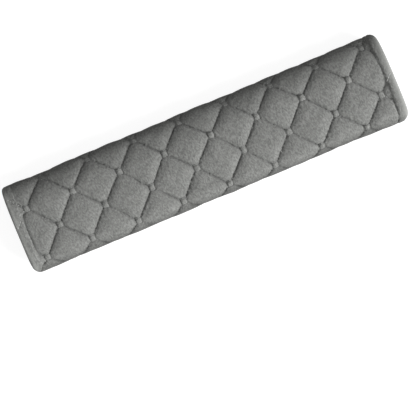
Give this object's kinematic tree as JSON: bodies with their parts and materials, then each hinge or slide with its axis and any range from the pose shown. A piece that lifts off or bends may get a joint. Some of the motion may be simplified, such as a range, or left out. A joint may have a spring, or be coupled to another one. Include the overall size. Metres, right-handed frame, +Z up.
{
  "type": "seat belt shoulder pad",
  "caption": "Flattened quilted velvet sleeve that wraps a seat belt where it crosses the shoulder, with turned hems and a hook and loop closure underneath.",
  "frame": {"origin": "on the surface the pad lies on, under the middle of its bounding box", "axes": "+X along the pad, the way the belt runs through it; +Y across the pad; +Z up, out of the quilted front"},
  "size_m": [0.291, 0.0674, 0.0225],
  "materials": {
    "velvet": "short plush pile, quilted",
    "lining": "fine knit",
    "loop_tape": "brushed loop pile",
    "hook_tape": "rows of small moulded hooks"
  },
  "bodies": {
    "root": {"quilted_panel": "velvet", "lining": "lining", "loop_tape": "loop_tape", "hook_tape": "hook_tape"}
  },
  "joints": []
}
